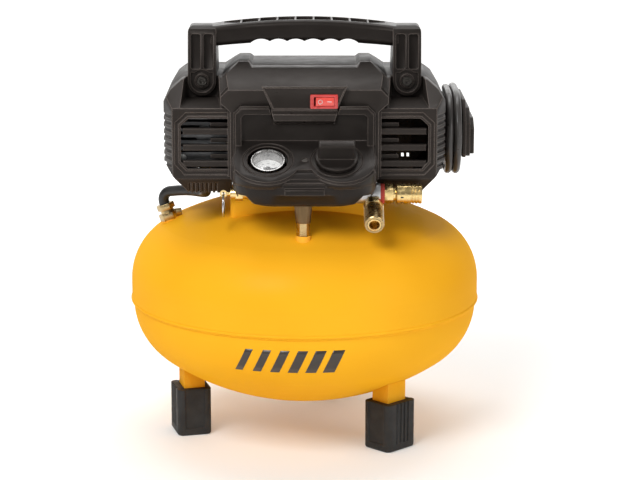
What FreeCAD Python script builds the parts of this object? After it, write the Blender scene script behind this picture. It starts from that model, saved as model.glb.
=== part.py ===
import FreeCAD, Part
import os
from math import atan2, cos, degrees, pi, radians, sin, sqrt, tan

# Pancake air compressor, modelled in millimetres.
# The origin is on the floor under the tank's axis; +Z is up, +X is the right-hand side
# and the control console faces -Y.

# ---- driving dimensions: tank --------------------------------------------------------
TANK_R = 206.8            # outside radius of the upper head's skirt
BEAD_R, BEAD_WIRE = 208.0, 2.2   # rolled bead along the upper head's lower edge
TANK_WALL = 2.6           # steel of both heads
SEAM_Z = 157.5            # lower edge of the upper head, where the heads overlap
BAND_TOP = 183.5          # the upper head's straight skirt ends here
LAP = 18.0                # how far the lower head slides up inside the upper one
UPPER_RISE = 103.5        # dome height above the skirt
UPPER_KNUCKLE = 72.0
LOWER_R = 204.6           # outside radius of the lower head below the seam
LOWER_DEPTH = 119.5       # dome depth below the seam
LOWER_KNUCKLE = 80.0

# ---- feet ----------------------------------------------------------------------------
FOOT_ANGLES = (-45.0, -165.0, 75.0)   # bearing of each foot about the tank, from +X
FOOT_R = 141.0            # radius of the foot centres
BOOT_WIDE, BOOT_DEEP, BOOT_TALL = 48.0, 41.0, 57.0
LEG_SHEET = 3.0

# ---- pump saddle and pump base ---------------------------------------------------------
SADDLE_X, SADDLE_Y, SADDLE_TOP, SADDLE_SHEET = 86.0, 80.0, 293.0, 3.0
ISOLATOR_X, ISOLATOR_Y, ISOLATOR_R = 64.0, 62.0, 11.0
BASE_Z, BASE_T = 307.0, 3.0

# ---- motor and pump: the shaft lies along X ---------------------------------------------
AXIS_Y, AXIS_Z = 20.0, 368.0
SHAFT_R = 6.0
RUNNING_GAP = 0.03        # radial clearance of every shaft or piston fit
STATOR_X0, STATOR_X1, STATOR_R, ROTOR_R = -52.0, 2.0, 50.0, 28.0
BELL_DEPTH = 22.0
CRANK_X = -114.0          # plane of the piston rod
CRANK_THROW = 8.0
CRANK_PIN_R = 8.0
BORE_R = 23.0
VALVE_PLATE_Y = -52.5     # rear face of the valve plate
HEAD_Y0, HEAD_Y1 = -88.0, -57.0

# ---- shroud ----------------------------------------------------------------------------
PARTING_Y = -50.0         # vertical plane where the two shells meet
SHROUD_Z0 = 303.0
SHROUD_X = 161.0
SHROUD_WALL = 3.0
WINDOW_Y = -110.0         # front face of the window frames
CENTRE_Y = -118.0         # front face of the raised middle of the front shell
REAR_Y = 110.0

# ---- handle ------------------------------------------------------------------------------
ARM_X, ARM_W = 118.0, 32.5
ARM_FRONT_Y, ARM_REAR_Y = -62.0, 26.0
ARM_Z0, ARM_TOP, HANDLE_TOP = 410.0, 488.0, 495.0
ROOF_Z = 431.5            # top of the shroud under the handle's arms

# ---- console -----------------------------------------------------------------------------
CONSOLE_X = 82.0
CONSOLE_FRONT_Y = -178.0
CONSOLE_Z0, LEDGE_Z = 296.0, 329.0
SHELF_TILT = 30.26        # slope of the instrument shelf
SHELF_Y, SHELF_Z = -151.0, 350.3   # a point of the shelf, on the line through gauge and knob
GAUGE_X, KNOB_X = -41.0, 36.0
SWITCH_X, SWITCH_Z = 22.0, 412.0
PANEL_Y = -122.0

# ---- air fittings --------------------------------------------------------------------------
MANIFOLD_Y, MANIFOLD_Z, MANIFOLD_R = -120.0, 306.0, 11.0
NIPPLE_X, NIPPLE_Y = -1.5, -143.0
BUNG_RISE = 3.4           # top of the nipple's bung above the dome
NIPPLE_NUT = 15.0         # height of the nipple's hexagon
COUPLER_R, COUPLER_BORE_R = 11.3, 6.0
FRONT_COUPLER_DIP = 22.5  # the front coupler points this far below level
FRONT_COUPLER_START = 8.0 # from its port in the manifold to the coupler's hexagon
CHECK_X = -160.0
CHECK_LEAN = 20.0         # the check valve leans outwards from upright
HOSE_D = 12.5
RELIEF_X = -92.0          # eye of the safety valve's stem
RING_R, RING_WIRE = 13.0, 1.1
DRAIN_X, DRAIN_Y = -30.0, 95.0

# ---- power cord ------------------------------------------------------------------------------
CORD_D = 9.0
COIL_X = (168.5, 178.0)   # the two columns of turns on the cord wrap
COIL_Y, COIL_Z = 16.0, 360.0
COIL_STRAIGHT = 60.0      # straight part of each turn, front to back
COIL_OUTER_R = 45.5       # centre-line radius of the outer turns' ends
RELIEF_LENGTH = 26.0      # strain relief

FULL = 360.0
NODES = []


def V(x, y, z):
    return FreeCAD.Vector(x, y, z)


# The cord's runs that aren't wound: from the shell into the coil, and from the coil to the plug.
LEAD_ROUTE = [V(158, 74, 309), V(159, 52, 308), V(163, 30, 309), V(171, 10, 313.5)]
TAIL_ROUTE = [V(178, 90.5, 378), V(178, 102, 346)]

X_AXIS = V(1, 0, 0)
Y_AXIS = V(0, 1, 0)
Z_AXIS = V(0, 0, 1)


# ---- building blocks --------------------------------------------------------------------------
def save(node, *shapes):
    """Write one node; each shape given is a piece of its own."""
    solids = [solid for shape in shapes for solid in shape.Solids]
    whole = solids[0] if len(solids) == 1 else Part.makeCompound(solids)
    whole.exportStep("parts/" + node + ".step")
    NODES.append((node, len(solids), whole.Volume, all(s.isValid() for s in solids)))


def box(x0, x1, y0, y1, z0, z1):
    return Part.makeBox(x1 - x0, y1 - y0, z1 - z0, V(x0, y0, z0))


def rod(radius, start, end):
    """A round bar between two points."""
    along = end - start
    return Part.makeCylinder(radius, along.Length, start, along)


def pipe(outer, inner, start, end):
    return rod(outer, start, end).cut(rod(inner, start, end))


def taper(radius0, radius1, start, end):
    along = end - start
    return Part.makeCone(radius0, radius1, along.Length, start, along)


def polygon_wire(points):
    return Part.makePolygon(list(points) + [points[0]])


def prism_y(outline, y0, y1):
    """An XZ outline pushed along Y."""
    wire = polygon_wire([V(x, y0, z) for x, z in outline])
    return Part.Face(wire).extrude(V(0, y1 - y0, 0))


def prism_x(outline, x0, x1):
    """A YZ outline pushed along X."""
    wire = polygon_wire([V(x0, y, z) for y, z in outline])
    return Part.Face(wire).extrude(V(x1 - x0, 0, 0))


def prism_z(outline, z0, z1):
    """An XY outline pushed along Z."""
    wire = polygon_wire([V(x, y, z0) for x, y in outline])
    return Part.Face(wire).extrude(V(0, 0, z1 - z0))


def hexagon(across_flats, start, end):
    """A six-sided bar between two points, with a flat on top."""
    along = end - start
    radius = across_flats / sqrt(3)
    corners = [V(radius * cos(k * pi / 3), radius * sin(k * pi / 3), 0) for k in range(6)]
    bar = Part.Face(polygon_wire(corners)).extrude(V(0, 0, along.Length))
    bar.Placement = FreeCAD.Placement(start, FreeCAD.Rotation(Z_AXIS, along))
    return bar


def union(shapes):
    shapes = list(shapes)
    whole = shapes[0].fuse(shapes[1:]) if len(shapes) > 1 else shapes[0]
    return whole.removeSplitter()


def common(*shapes):
    whole = shapes[0]
    for shape in shapes[1:]:
        whole = whole.common(shape)
    return whole


def mirrored(outline):
    """Close a right-hand outline, given from bottom to top, with its mirror image."""
    return outline + [(-x, z) for x, z in reversed(outline) if x != 0]


def mirror_x(shape):
    return shape.mirror(V(0, 0, 0), X_AXIS)


def both_sides(shape):
    return [shape, mirror_x(shape)]


def turned(shape, centre, axis, angle):
    copy = shape.copy()
    copy.rotate(centre, axis, angle)
    return copy


def round_edges(solid, radius, wanted):
    """Round the edges that the test picks."""
    edges = [edge for edge in solid.Edges if wanted(edge)]
    return solid.makeFillet(radius, edges) if edges else solid


def is_along(edge, axis):
    ends = edge.Vertexes
    if len(ends) != 2 or not isinstance(edge.Curve, Part.Line):
        return False
    along = ends[1].Point - ends[0].Point
    return along.Length > 0 and abs(along.normalize().dot(axis)) > 0.999


def tube_route(points, radius):
    """A round tube on straight runs joined by the largest tangent arcs that fit."""
    runs = [(after - before).Length for before, after in zip(points, points[1:])]
    room = [run * 0.47 for run in runs]
    room[0], room[-1] = runs[0] * 0.94, runs[-1] * 0.94
    edges = []
    bends = []
    here = points[0]
    for k in range(1, len(points) - 1):
        corner = points[k]
        inward = (points[k - 1] - corner).normalize()
        outward = (points[k + 1] - corner).normalize()
        half_turn = (pi - inward.getAngle(outward)) / 2
        tangent = min(room[k - 1], room[k])
        bend = tangent / tan(half_turn)
        start = corner + inward * tangent
        end = corner + outward * tangent
        middle_way = (inward + outward).normalize()
        middle = corner + middle_way * (bend / cos(half_turn) - bend)
        edges.append(Part.LineSegment(here, start).toShape())
        edges.append(Part.Arc(start, middle, end).toShape())
        bends.append(bend)
        here = end
    edges.append(Part.LineSegment(here, points[-1]).toShape())
    path = Part.Wire(edges)
    section = Part.Wire(Part.makeCircle(radius, points[0], points[1] - points[0]))
    tube = path.makePipeShell([section], True, True)
    return tube, path.Length, bends


# ---- tank ----------------------------------------------------------------------------------------
def crown_radius(radius, knuckle, rise):
    """Radius of the spherical crown that touches a head's knuckle."""
    return ((radius - knuckle) ** 2 + rise ** 2 - knuckle ** 2) / (2 * (rise - knuckle))


def head_outline(radius, knuckle, rise, skirt, up):
    """Edge list of one dished head from its skirt's edge to its apex, in the XZ plane."""
    crown = crown_radius(radius, knuckle, rise)
    lean = atan2(crown - rise, radius - knuckle)
    mid = lean / 2 if lean > 0 else 0.4
    corner = V(radius - knuckle, 0, 0)
    touch = corner + V(knuckle * cos(lean), 0, up * knuckle * sin(lean))
    halfway = corner + V(knuckle * cos(mid), 0, up * knuckle * sin(mid))
    crown_z = rise - crown
    half_crown = (pi / 2 + lean) / 2
    crown_mid = V(crown * cos(half_crown), 0, up * (crown_z + crown * sin(half_crown)))
    edges = [
        Part.LineSegment(V(radius, 0, -up * skirt), V(radius, 0, 0)).toShape(),
        Part.Arc(V(radius, 0, 0), halfway, touch).toShape(),
        Part.Arc(touch, crown_mid, V(0, 0, up * rise)).toShape(),
    ]
    return edges


def filled_head(radius, knuckle, rise, skirt, up, base_z):
    edges = head_outline(radius, knuckle, rise, skirt, up)
    rim = V(radius, 0, -up * skirt)
    centre = V(0, 0, -up * skirt)
    edges.append(Part.LineSegment(V(0, 0, up * rise), centre).toShape())
    edges.append(Part.LineSegment(centre, rim).toShape())
    solid = Part.Face(Part.Wire(edges)).revolve(V(0, 0, 0), Z_AXIS, FULL)
    solid = Part.makeSolid(solid) if solid.ShapeType == "Shell" else solid
    solid.translate(V(0, 0, base_z))
    return solid


def upper_fill(inset):
    return filled_head(TANK_R - inset, UPPER_KNUCKLE - inset, UPPER_RISE - inset,
                       BAND_TOP - SEAM_Z, 1, BAND_TOP)


def lower_fill(inset):
    return filled_head(LOWER_R - inset, LOWER_KNUCKLE - inset, LOWER_DEPTH - inset,
                       0.5, -1, SEAM_Z)


def dome_z(radius):
    """Height of the upper head's outside at a distance from the tank's axis."""
    flat = TANK_R - UPPER_KNUCKLE
    crown = crown_radius(TANK_R, UPPER_KNUCKLE, UPPER_RISE)
    lean = atan2(crown - UPPER_RISE, flat)
    if radius > flat + UPPER_KNUCKLE * cos(lean):
        return BAND_TOP + sqrt(UPPER_KNUCKLE ** 2 - (radius - flat) ** 2)
    return BAND_TOP + UPPER_RISE - crown + sqrt(crown ** 2 - radius ** 2)


def drain_top():
    """Height of the lower head's outside over the drain valve."""
    crown = crown_radius(LOWER_R, LOWER_KNUCKLE, LOWER_DEPTH)
    return SEAM_Z - LOWER_DEPTH + crown - sqrt(crown ** 2 - DRAIN_X ** 2 - DRAIN_Y ** 2)


def under_tank(rise):
    """A point on the drain valve's upright axis, from the height of the tank's outside."""
    return V(DRAIN_X, DRAIN_Y, drain_top() + rise)


def tank():
    upper = upper_fill(0).cut(upper_fill(TANK_WALL))
    bead = Part.makeTorus(BEAD_R - BEAD_WIRE, BEAD_WIRE, V(0, 0, SEAM_Z + BEAD_WIRE))
    upper = upper.fuse(bead).cut(rod(TANK_R - TANK_WALL, V(0, 0, SEAM_Z - 5), V(0, 0, SEAM_Z + 12)))
    lap_r = TANK_R - TANK_WALL
    lap = pipe(lap_r, lap_r - TANK_WALL, V(0, 0, SEAM_Z - 6), V(0, 0, SEAM_Z + LAP))
    lower = lower_fill(0).cut(lower_fill(TANK_WALL)).fuse(lap)
    drain_hole = rod(7, under_tank(-15), under_tank(15))
    save("tank_upper_head", upper)
    step = pipe(TANK_R + 1, lap_r, V(0, 0, SEAM_Z), V(0, 0, SEAM_Z + 3))
    save("tank_lower_head", lower.cut(drain_hole).cut(step))


def check_axis():
    return V(-sin(radians(CHECK_LEAN)), 0, cos(radians(CHECK_LEAN)))


def check_base():
    return V(CHECK_X, 0, dome_z(-CHECK_X))


def bungs():
    top = dome_z(abs(NIPPLE_Y))
    nipple_bung = rod(8.3, V(NIPPLE_X, NIPPLE_Y, top - 8), V(NIPPLE_X, NIPPLE_Y, top + BUNG_RISE))
    check_bung = rod(11, check_base() - check_axis() * 6, check_base() + check_axis() * 1.5)
    drain_bung = pipe(12, 7, under_tank(-6), under_tank(8))
    outside = upper_fill(0)
    save("tank_bungs", nipple_bung.cut(outside), check_bung.cut(outside),
         drain_bung.cut(lower_fill(0)))


# ---- legs and feet ---------------------------------------------------------------------------------
def leg_bracket():
    """A channel of bent sheet, open towards the tank's middle, cut to the lower head."""
    back = box(FOOT_R + 8, FOOT_R + 8 + LEG_SHEET, -15, 15, 12, 110)
    cheek = box(FOOT_R - 14, FOOT_R + 8 + LEG_SHEET, 12, 15, 12, 110)
    other = box(FOOT_R - 14, FOOT_R + 8 + LEG_SHEET, -15, -12, 12, 110)
    channel = union([back, cheek, other])
    return channel.cut(lower_fill(0)).common(box(0, 300, -40, 40, 0, 96))


def boot():
    x0, x1 = FOOT_R - BOOT_DEEP / 2, FOOT_R + BOOT_DEEP / 2
    half = BOOT_WIDE / 2
    body = box(x0, x1, -half, half, 0, BOOT_TALL)
    body = round_edges(body, 7, lambda e: is_along(e, Z_AXIS))
    body = round_edges(body, 3, lambda e: e.BoundBox.ZMax < 0.1)
    grooves = [box(x1 - 1.6, x1 + 1, y - 1.5, y + 1.5, 9, BOOT_TALL + 1) for y in (-9, -3, 3, 9)]
    grooves += [box(x0 + 9, x1 - 9, s - 1.6, s + 1.6, 9, BOOT_TALL + 1) for s in (-half, half)]
    return body.cut(Part.makeCompound(grooves))


def legs_and_feet():
    bracket = leg_bracket()
    rubber = boot().cut(bracket)
    origin = V(0, 0, 0)
    save("leg_brackets", *[turned(bracket, origin, Z_AXIS, a) for a in FOOT_ANGLES])
    save("rubber_feet", *[turned(rubber, origin, Z_AXIS, a) for a in FOOT_ANGLES])


# ---- saddle, isolators and pump base ------------------------------------------------------------------
def saddle():
    outer = box(-SADDLE_X, SADDLE_X, -SADDLE_Y, SADDLE_Y, 240, SADDLE_TOP)
    outer = round_edges(outer, 8, lambda e: is_along(e, Z_AXIS))
    inner = box(-SADDLE_X + SADDLE_SHEET, SADDLE_X - SADDLE_SHEET, -SADDLE_Y + SADDLE_SHEET,
                SADDLE_Y - SADDLE_SHEET, 230, SADDLE_TOP - SADDLE_SHEET)
    inner = round_edges(inner, 5, lambda e: is_along(e, Z_AXIS))
    save("pump_saddle", outer.cut(inner).cut(upper_fill(0)))


def isolator(x, y):
    waist = SADDLE_TOP + (BASE_Z - SADDLE_TOP) / 2
    lower = taper(ISOLATOR_R, ISOLATOR_R - 3, V(x, y, SADDLE_TOP), V(x, y, waist))
    upper = taper(ISOLATOR_R - 3, ISOLATOR_R, V(x, y, waist), V(x, y, BASE_Z))
    return lower.fuse(upper)


def pump_base():
    corners = [(sx * ISOLATOR_X, sy * ISOLATOR_Y) for sx in (-1, 1) for sy in (-1, 1)]
    save("isolators", *[isolator(x, y) for x, y in corners])
    plates = [box(-128, 66, -28, 72, BASE_Z, BASE_Z + BASE_T)]
    plates += [box(x - 14, x + 14, -76, -20, BASE_Z, BASE_Z + BASE_T) for x in (-ISOLATOR_X, ISOLATOR_X)]
    plates += [box(50, 78, 48, 76, BASE_Z, BASE_Z + BASE_T)]
    cradle = [box(x, x + 12, AXIS_Y - 24, AXIS_Y + 24, BASE_Z + 1, AXIS_Z - 30) for x in (-46, -16)]
    motor = rod(STATOR_R, V(-200, AXIS_Y, AXIS_Z), V(100, AXIS_Y, AXIS_Z))
    base = union(plates + cradle).cut(motor)
    nuts = [hexagon(11, V(x, y, BASE_Z + BASE_T), V(x, y, BASE_Z + BASE_T + 5)) for x, y in corners]
    save("pump_base", base.fuse(nuts))


# ---- motor ---------------------------------------------------------------------------------------------
def on_axis(x):
    return V(x, AXIS_Y, AXIS_Z)


def stator():
    core = pipe(STATOR_R, ROTOR_R + 0.6, on_axis(STATOR_X0), on_axis(STATOR_X1))
    save("stator_core", core)
    left = pipe(43, 31, on_axis(STATOR_X0 - 14), on_axis(STATOR_X0))
    right = pipe(43, 31, on_axis(STATOR_X1), on_axis(STATOR_X1 + 14))
    save("stator_windings", left, right)


def end_bell(x_open, x_closed):
    step = 4 if x_closed > x_open else -4
    cup = rod(STATOR_R, on_axis(x_open), on_axis(x_closed))
    cup = cup.cut(rod(STATOR_R - 4, on_axis(x_open), on_axis(x_closed - step)))
    boss = rod(18, on_axis(x_closed - 2 * step), on_axis(x_closed))
    seat = rod(14, on_axis(x_closed - 3 * step), on_axis(x_closed + step))
    return cup.fuse(boss).cut(seat)


def motor_shell():
    left, right = STATOR_X0 - BELL_DEPTH, STATOR_X1 + BELL_DEPTH
    save("motor_end_bells", end_bell(STATOR_X0, left), end_bell(STATOR_X1, right))
    bore = SHAFT_R + RUNNING_GAP
    save("shaft_bearings", pipe(14, bore, on_axis(left), on_axis(left + 8)),
         pipe(14, bore, on_axis(right - 8), on_axis(right)))


def rotor():
    save("motor_shaft", rod(SHAFT_R, on_axis(-105), on_axis(66)))
    save("rotor_core", pipe(ROTOR_R, SHAFT_R, on_axis(STATOR_X0), on_axis(STATOR_X1)))
    fan_x0, fan_x1 = 34, 56
    hub = pipe(14, SHAFT_R, on_axis(fan_x0), on_axis(fan_x1))
    blade = box(-1, 1, 12, 46, -11, 11)
    blades = []
    for k in range(9):
        piece = turned(blade, V(0, 0, 0), Y_AXIS, 60)
        piece.translate(on_axis((fan_x0 + fan_x1) / 2))
        blades.append(turned(piece, on_axis(0), X_AXIS, k * FULL / 9))
    save("cooling_fan", hub.fuse(blades).cut(rod(SHAFT_R, on_axis(20), on_axis(70))))
    pin_y = AXIS_Y + CRANK_THROW
    pin = rod(CRANK_PIN_R, V(CRANK_X - 7, pin_y, AXIS_Z), V(CRANK_X + 10, pin_y, AXIS_Z))
    hub = rod(12, on_axis(-105), on_axis(-96))
    weight = rod(24, on_axis(-105), on_axis(-97))
    weight = weight.common(box(-110, -90, AXIS_Y - 30, AXIS_Y - 2, 300, 420))
    shaft_hole = rod(SHAFT_R, on_axis(-105), on_axis(-90))
    save("crank_eccentric", union([pin, hub, weight]).cut(shaft_hole))


# ---- pump ----------------------------------------------------------------------------------------------
def crankcase():
    y0, y1, z0, z1 = -22, 67, 329, 407
    outer = round_edges(box(-127, -84, y0, y1, z0, z1), 10, lambda e: is_along(e, X_AXIS))
    inner = round_edges(box(-130, -90, y0 + 5, y1 - 5, z0 + 5, z1 - 5), 6, lambda e: is_along(e, X_AXIS))
    collar = rod(30, on_axis(-88), on_axis(STATOR_X0 - BELL_DEPTH))
    feet = [box(-124, -90, y, y + 16, BASE_Z + BASE_T, z0 + 2) for y in (-12, 40)]
    case = union([outer.cut(inner), collar] + feet)
    case = case.cut(rod(14, on_axis(-95), on_axis(-60)))
    case = case.cut(rod(BORE_R, V(CRANK_X, -40, AXIS_Z), V(CRANK_X, -10, AXIS_Z)))
    save("crankcase", case)
    lid = round_edges(box(-130, -127, y0, y1, z0, z1), 10, lambda e: is_along(e, X_AXIS))
    save("crankcase_cover", lid)


def cylinder():
    front, back = VALVE_PLATE_Y, -22
    barrel = rod(26.5, V(CRANK_X, front, AXIS_Z), V(CRANK_X, back, AXIS_Z))
    fins = [rod(34, V(CRANK_X, y, AXIS_Z), V(CRANK_X, y + 2, AXIS_Z)) for y in range(-48, -26, 6)]
    barrel = barrel.fuse(fins)
    save("cylinder_sleeve", barrel.cut(rod(BORE_R, V(CRANK_X, front, AXIS_Z), V(CRANK_X, back, AXIS_Z))))
    plate = box(CRANK_X - 32, CRANK_X + 32, HEAD_Y1, front, AXIS_Z - 32, AXIS_Z + 32)
    corners = [(CRANK_X + sx * 26, AXIS_Z + sz * 26) for sx in (-1, 1) for sz in (-1, 1)]
    holes = Part.makeCompound([rod(3, V(x, -100, z), V(x, front, z)) for x, z in corners])
    save("valve_plate", plate.cut(holes))
    head = box(CRANK_X - 32, CRANK_X + 32, HEAD_Y0, HEAD_Y1, AXIS_Z - 32, AXIS_Z + 32)
    slots = [box(CRANK_X - 40, CRANK_X + 40, HEAD_Y0 - 1, HEAD_Y1 - 8, AXIS_Z + z, AXIS_Z + z + 3.4)
             for z in (-20, -13, -6, 1, 8, 15)]
    head = head.cut(Part.makeCompound(slots)).fuse(
        rod(11, V(CRANK_X, HEAD_Y0 + 4, AXIS_Z), V(CRANK_X, HEAD_Y1, AXIS_Z)))
    save("cylinder_head", head.cut(holes))
    bolts = []
    for x, z in corners:
        shank = rod(3, V(x, HEAD_Y0, z), V(x, VALVE_PLATE_Y, z))
        bolts.append(shank.fuse(hexagon(9, V(x, HEAD_Y0 - 4, z), V(x, HEAD_Y0, z))))
    save("head_bolts", *bolts)
    side, filter_z = CRANK_X + 32, AXIS_Z + 16
    cap = rod(12, V(side, -72, filter_z), V(side + 15, -72, filter_z))
    rings = [pipe(13, 11, V(side + d, -72, filter_z), V(side + d + 1.5, -72, filter_z)) for d in (4, 8, 12)]
    save("intake_filter", cap.cut(Part.makeCompound(rings)))


def piston():
    crown = rod(BORE_R - 0.5, V(CRANK_X, -44, AXIS_Z), V(CRANK_X, -36, AXIS_Z))
    shank = box(CRANK_X - 5, CRANK_X + 5, -37, -6, AXIS_Z - 6, AXIS_Z + 6)
    eye_r, eye_wall = 24.6, 4.0
    eye = pipe(eye_r + eye_wall, eye_r, on_axis(CRANK_X - 5), on_axis(CRANK_X + 5))
    hole = rod(eye_r, on_axis(CRANK_X - 8), on_axis(CRANK_X + 8))
    groove = pipe(BORE_R, BORE_R - 2.5, V(CRANK_X, -42, AXIS_Z), V(CRANK_X, -39, AXIS_Z))
    save("piston_rod", union([crown, shank, eye]).cut(hole).cut(groove))
    seal_r = BORE_R - RUNNING_GAP
    save("piston_seal", pipe(seal_r, BORE_R - 2.5, V(CRANK_X, -42, AXIS_Z), V(CRANK_X, -39, AXIS_Z)))


# ---- discharge line --------------------------------------------------------------------------------------
def discharge_line():
    base, axis = check_base() + check_axis() * 1.5, check_axis()
    low = hexagon(21, base, base + axis * 8)
    barrel = rod(8, base + axis * 7, base + axis * 14)
    stub = rod(4.3, base + axis * 7, base + axis * 7 + V(16, 0, 2))
    save("check_valve_body", union([low, barrel, stub]))
    nut_top = base + axis * 19
    valve_nut = hexagon(19, base + axis * 12, nut_top).cut(barrel)
    port = V(CRANK_X, -72, AXIS_Z - 32)
    save("hose_end_nuts", valve_nut, hexagon(16, port - V(0, 0, 8), port))
    route = [nut_top, nut_top + axis * 15, V(-140, -14, 290), V(-116, -50, 294), V(CRANK_X, -72, 300),
             port - V(0, 0, 8)]
    hose, length, bends = tube_route(route, HOSE_D / 2)
    save("discharge_hose", hose)
    print("discharge hose mm", round(length), "bends", [round(b, 1) for b in bends])


# ---- shroud --------------------------------------------------------------------------------------------
def skyline(inset):
    """Front outline of both shells: flat top, two ridges, a dip under each handle arm."""
    t = inset
    right = [(132 - t, SHROUD_Z0 + t), (SHROUD_X - t, 337 + t / 2), (SHROUD_X - t, 407 - t / 2),
             (153 - t, 420 - t), (141 - t, 430 - t), (133 - t, ROOF_Z - t), (95, ROOF_Z - t),
             (85 - t / 2, 441 - t), (76, 448.5 - t), (64, 448.5 - t), (60, 443.5 - t)]
    return mirrored(right)


def plan(inset, front):
    """Plan outline of the shells, with chamfered corners at the front and the back."""
    t = inset
    right = [(150 - t, front + t), (SHROUD_X - t, -86 + t / 2), (SHROUD_X - t, 74 - t / 2),
             (140 - t, REAR_Y - t)]
    return mirrored(right)


def side_section(inset):
    """Section of the shells beside the middle, in the YZ plane."""
    t = inset
    return [(-99 + t, SHROUD_Z0 + t), (WINDOW_Y + t, 321 + t), (WINDOW_Y + t, 402 - t), (-100 + t, 408 - t),
            (PARTING_Y, 452 - t), (12, 452 - t), (84, 426 - t), (REAR_Y - t, 396 - t), (REAR_Y - t, 324 + t),
            (92 - t, SHROUD_Z0 + t)]


def middle_block(inset):
    """The raised middle of the front shell, behind the console and the switch panel."""
    t = inset
    section = [(CENTRE_Y + t, 322 + t), (CENTRE_Y + t, 424 - t), (-108 + t, 431 - t),
               (PARTING_Y, 452 - t), (PARTING_Y, 322 + t)]
    face = mirrored([(84 - t, 322 + t), (84 - t, 399), (95 - t, 409), (95 - t, 416), (86 - t, 425),
                     (90 - t, 440), (76, 452)])
    return common(prism_x(section, -100, 100), prism_y(face, -130, PARTING_Y), prism_y(skyline(t), -130, 130))


def shroud_block(inset):
    flank = prism_x(side_section(inset), -170, 170)
    return common(flank, prism_y(skyline(inset), -130, 130), prism_z(plan(inset, WINDOW_Y), 290, 460))


def arm_pocket(grow):
    """Room in the front shell for the foot of one handle arm, flared towards the front."""
    g = grow
    half = ARM_W / 2 + 1.8 + g
    back = PARTING_Y - 2.8 + g
    section = [(-130, 401 - g), (-108, 402.5 - g), (back, ARM_Z0 - 2.5 - g), (back, 470), (-130, 470)]
    floor = [(ARM_X - half, back), (ARM_X + half, back), (ARM_X + half + 5, -108), (ARM_X + half + 5, -130),
             (ARM_X - half - 5, -130), (ARM_X - half - 5, -108)]
    return prism_x(section, 60, 180).common(prism_z(floor, 380, 480))


def window(inset, y0, y1):
    """An eight-sided window, right-hand side."""
    t = inset
    outline = [(84, 321 + t), (139 - t / 2, 321 + t), (152 - t, 335 + t / 2), (152 - t, 388 - t / 2),
               (137 - t / 2, 402 - t), (84, 402 - t)]
    return prism_y(outline, y0, y1)


def front_shell():
    pockets = both_sides(arm_pocket(0))
    walls = both_sides(arm_pocket(2.8))
    outer = shroud_block(0).fuse(middle_block(0))
    hollow = shroud_block(SHROUD_WALL).fuse(middle_block(SHROUD_WALL))
    hollow = hollow.cut(Part.makeCompound(walls))
    shell = outer.cut(hollow).cut(Part.makeCompound(pockets))
    shell = shell.common(box(-200, 200, -200, PARTING_Y, 250, 500))
    recess = both_sides(window(5, WINDOW_Y - 1, WINDOW_Y + 1.8))
    opening = both_sides(window(9, -130, WINDOW_Y + 20))
    floor_cut = [box(-140, 140, -85, 100, 295, 307), box(-82.5, 82.5, -130, 0, 295, 321.9)]
    shell = shell.cut(Part.makeCompound(recess + opening + floor_cut))
    collar = window(9, WINDOW_Y + 1, WINDOW_Y + 8).cut(window(11.5, -130, 0))
    bars = [box(84, 138.5, WINDOW_Y + 2.5, WINDOW_Y + 8.5, z - 3.7, z + 3.7) for z in (338, 356.6, 375.2)]
    bars = [round_edges(bar, 1.5, lambda e: e.BoundBox.YMax < WINDOW_Y + 3) for bar in bars]
    bars += [box(84, 107, WINDOW_Y + 10, WINDOW_Y + 14, z - 2.3, z + 2.3) for z in (330.5, 345.5, 364, 382)]
    bars = [bar.common(window(8, -130, 0)) for bar in bars]
    bars += [box(80, 87, WINDOW_Y - 2, WINDOW_Y + 14, 324, 399)]
    shell = shell.fuse(both_sides(collar) + [b for bar in bars for b in both_sides(bar)])
    seam = box(-200, 200, PARTING_Y - 1.4, PARTING_Y, 300, 460).cut(shroud_block(1.5))
    openings = [box(-60, 60, -130, -100, 332, 398),
                box(SWITCH_X - 16, SWITCH_X + 16, -130, -100, SWITCH_Z - 9, SWITCH_Z + 9)]
    shell = shell.cut(Part.makeCompound(side_ribs(-108, PARTING_Y - 3) + chin_ribs() + openings))
    save("front_shroud", shell.cut(seam))


def side_ribs(y0, y1):
    """Grooves that leave horizontal ribs on both ends and round their corners."""
    bands = [box(140, 170, y0, y1, z, z + 4) for z in range(334, 398, 8)]
    grooves = Part.makeCompound(bands).cut(shroud_block(1.6))
    return both_sides(grooves)


def chin_ribs():
    """Short upright grooves on the sloping edge below each window."""
    bands = [box(x, x + 2.4, -115, -90, 303, 316) for x in range(100, 131, 5)]
    grooves = Part.makeCompound(bands).cut(shroud_block(1.4))
    return both_sides(grooves)


def rear_shell():
    outer = shroud_block(0)
    shell = outer.cut(shroud_block(SHROUD_WALL)).common(box(-200, 200, PARTING_Y, 200, 250, 500))
    shell = shell.cut(box(-140, 140, -100, 55, 295, 307)).cut(box(-80, 80, -100, 85, 295, 307))
    slots = []
    for k in range(8):
        x = 88 + 6.8 * k
        slots += [box(x, x + 4.4, 90, 130, z, z + 5.5) for z in (334, 343, 352, 361, 370, 379)]
    slots += [box(-60 + 12 * k, -53 + 12 * k, 90, 130, 332, 392) for k in range(11)]
    left = [mirror_x(box(88 + 6.8 * k, 92.4 + 6.8 * k, 90, 130, 332, 386)) for k in range(8)]
    shell = shell.cut(Part.makeCompound(slots + left + side_ribs(PARTING_Y - 1, 72)))
    baffle = box(84, 150, 64, 66.5, 303.5, 425).common(shroud_block(SHROUD_WALL - 0.2))
    peepholes = [prism_x([(60, 317), (60, 321.4), (125, 310.2), (125, 305.8)], x, x + wide)
                 for x, wide in ((112.7, 1.5), (117.8, 4.6), (124.4, 4.6))]
    save("rear_shroud", shell.fuse(baffle).cut(Part.makeCompound(peepholes)))


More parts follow.
